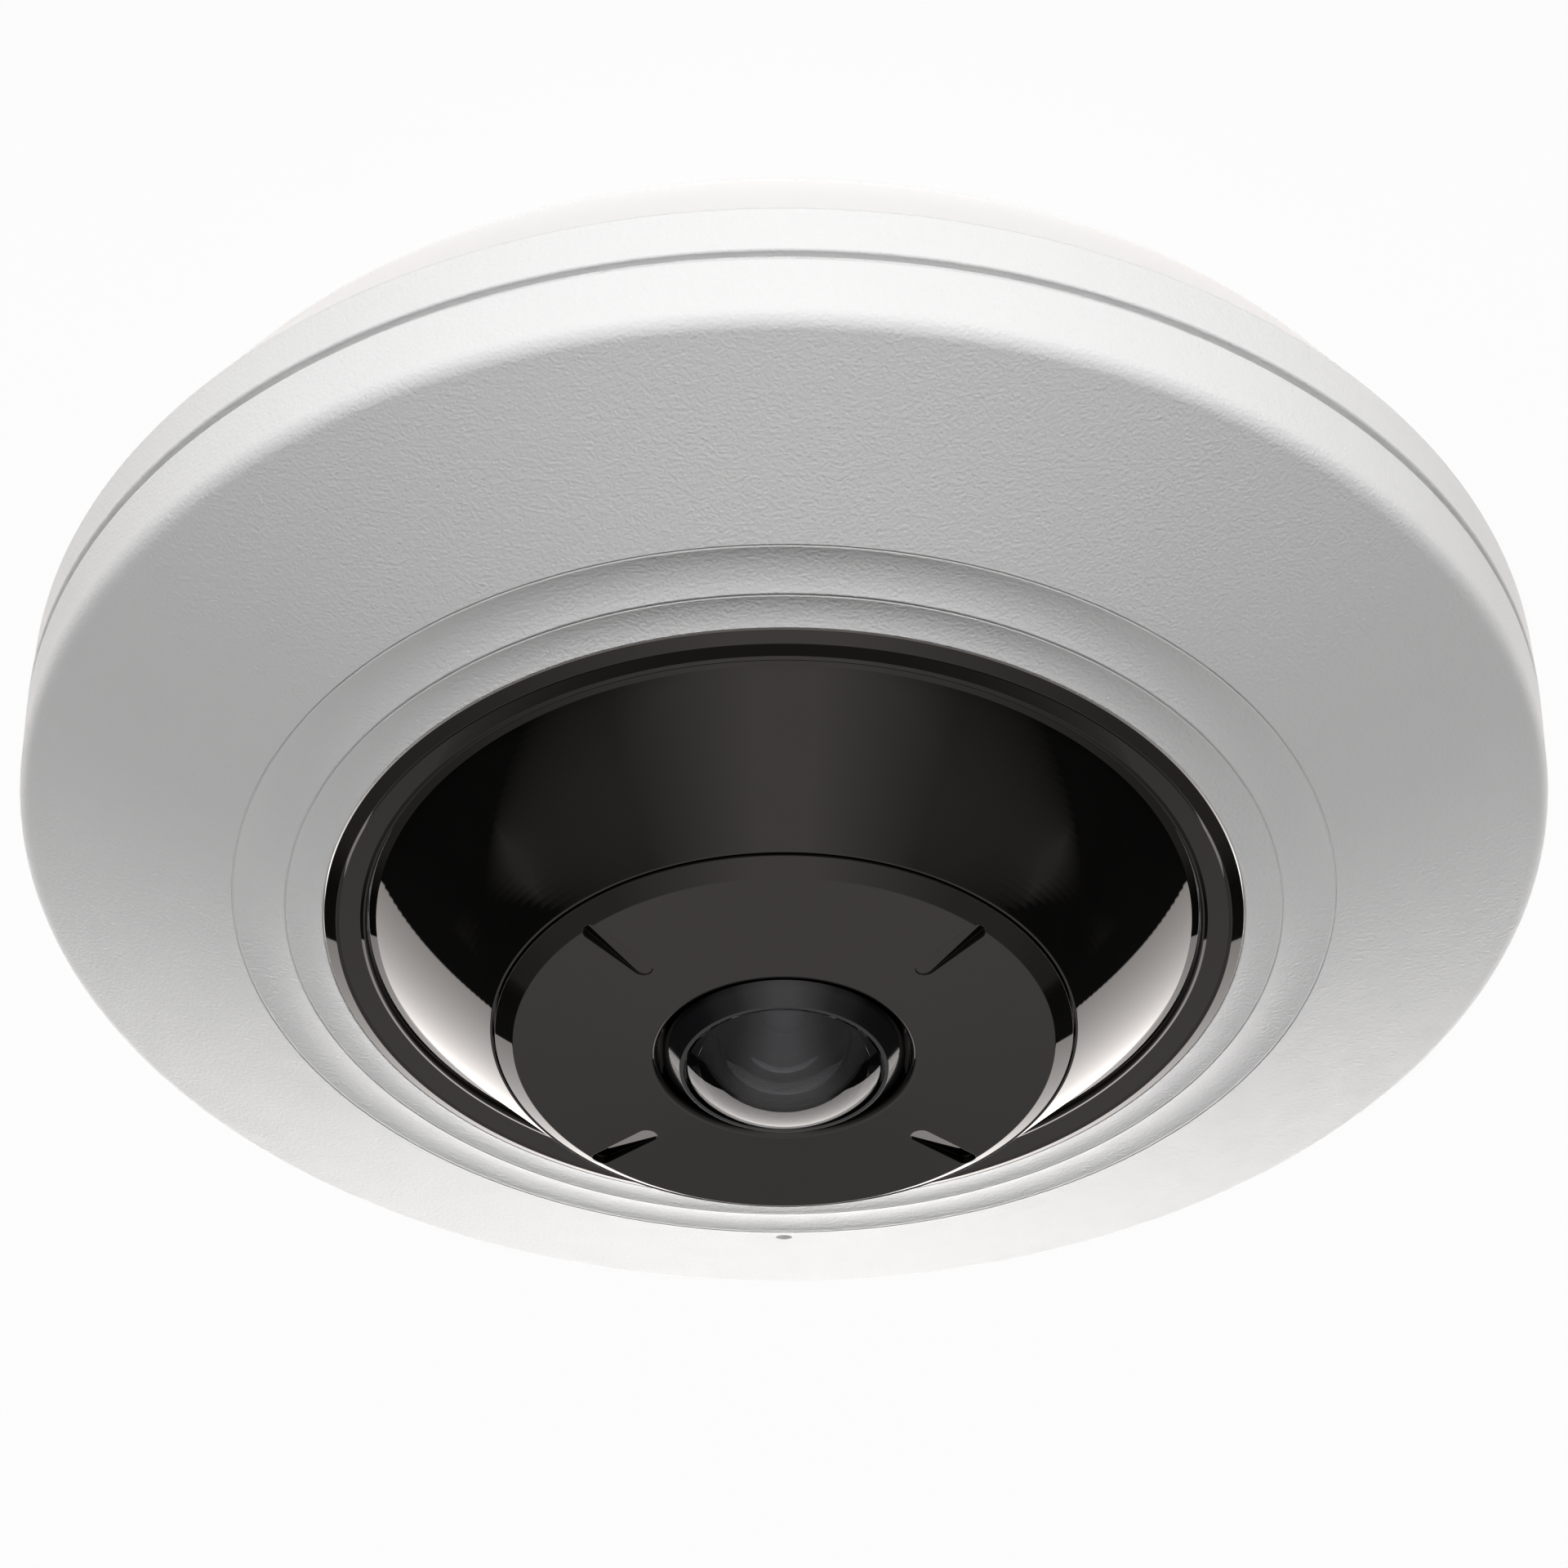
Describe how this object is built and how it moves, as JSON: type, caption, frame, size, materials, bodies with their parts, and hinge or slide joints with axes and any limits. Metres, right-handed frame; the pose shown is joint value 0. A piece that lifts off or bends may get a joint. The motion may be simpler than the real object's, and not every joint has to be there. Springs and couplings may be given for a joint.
{
  "type": "fisheye ip camera",
  "caption": "Round white ceiling camera with a black conical infrared dome, a fisheye lens on top and a twist-lock mounting plate behind.",
  "frame": {"origin": "centre of the mounting face, on the lens axis", "axes": "+Z runs out through the lens, away from the ceiling; +Y points from the lens to the microphone hole; +X completes a right-handed frame"},
  "size_m": [0.12, 0.12, 0.0447],
  "materials": {
    "white_shell": "fine-textured white ABS",
    "smooth_white": "smooth white ABS",
    "black_gloss": "polished black polycarbonate",
    "infrared_window": "polished infrared-passing polycarbonate, near black",
    "black_matte": "matte black moulding",
    "black_metal": "black anodised, semi-matte",
    "lens_glass": "coated optical glass",
    "filter_glass": "thin coated filter glass",
    "steel": "zinc-plated steel",
    "rubber": "black rubber or foam",
    "circuit_board": "green soldermask",
    "chip": "moulded chip package",
    "sensor": "cover glass over silicon",
    "connector_plastic": "cream connector plastic",
    "diode": "clear resin over a ceramic base",
    "metal_shell": "stamped bright shell",
    "brass": "bare brass",
    "copper": "enamelled copper wire",
    "button_red": "moulded switch cap"
  },
  "bodies": {
    "mount": {"mounting_plate": "steel"},
    "camera": {"mount_studs": "steel", "lock_screw": "steel", "rear_housing": "smooth_white", "cover_screws": "steel", "front_cover": "white_shell", "cover_gasket": "rubber", "dome_ring": "black_gloss", "ir_window": "infrared_window", "front_cap": "black_gloss", "dome_gasket": "rubber", "dome_clamp": "steel", "clamp_screws": "steel", "lens_bezel": "black_metal", "lens_front": "lens_glass", "lens_middle": "lens_glass", "aperture_stop": "black_metal", "lens_rear": "lens_glass", "lens_barrel": "black_metal", "lens_holder": "black_matte", "holder_screws": "steel", "lens_seal": "rubber", "filter_frame": "black_matte", "filter_coil": "copper", "image_sensor": "sensor", "sensor_board": "circuit_board", "sensor_spacers": "brass", "sensor_screws": "steel", "led_carrier": "smooth_white", "carrier_screws": "steel", "led_board": "circuit_board", "ir_leds": "diode", "main_board": "circuit_board", "board_screws": "steel", "processor": "chip", "board_connector": "connector_plastic", "network_jack": "metal_shell", "jack_contacts": "brass", "power_jack": "black_matte", "network_transformer": "chip", "memory_card_socket": "metal_shell", "reset_switch": "chip", "microphone": "metal_shell", "microphone_boot": "rubber"},
    "filter": {"filter_carriage": "black_matte", "cut_filter": "filter_glass", "clear_filter": "filter_glass"},
    "rotor": {"magnet_rotor": "black_matte"},
    "button": {"reset_button": "button_red"}
  },
  "joints": [
    {"name": "camera_twist", "type": "hinge", "parent": "mount", "child": "camera", "pos_m": [0, 0, 0.0039], "axis": [0, 0, 1], "range_deg": [-20, 0]},
    {"name": "filter_slide", "type": "slide", "parent": "camera", "child": "filter", "axis": [-1, 0, 0], "range_m": [0, 0.0064]},
    {"name": "rotor_turn", "type": "hinge", "parent": "camera", "child": "rotor", "pos_m": [0, -0.01357, 0.028], "axis": [0, 0, 1], "range_deg": [0, 50]},
    {"name": "button_press", "type": "slide", "parent": "camera", "child": "button", "axis": [0, 0, -1], "range_m": [0, 0.0003], "stiffness_N_per_m": 2000}
  ],
  "couplings": [
    {"joint": "rotor_turn", "follows": "filter_slide", "rad_per_m": 136.35}
  ]
}
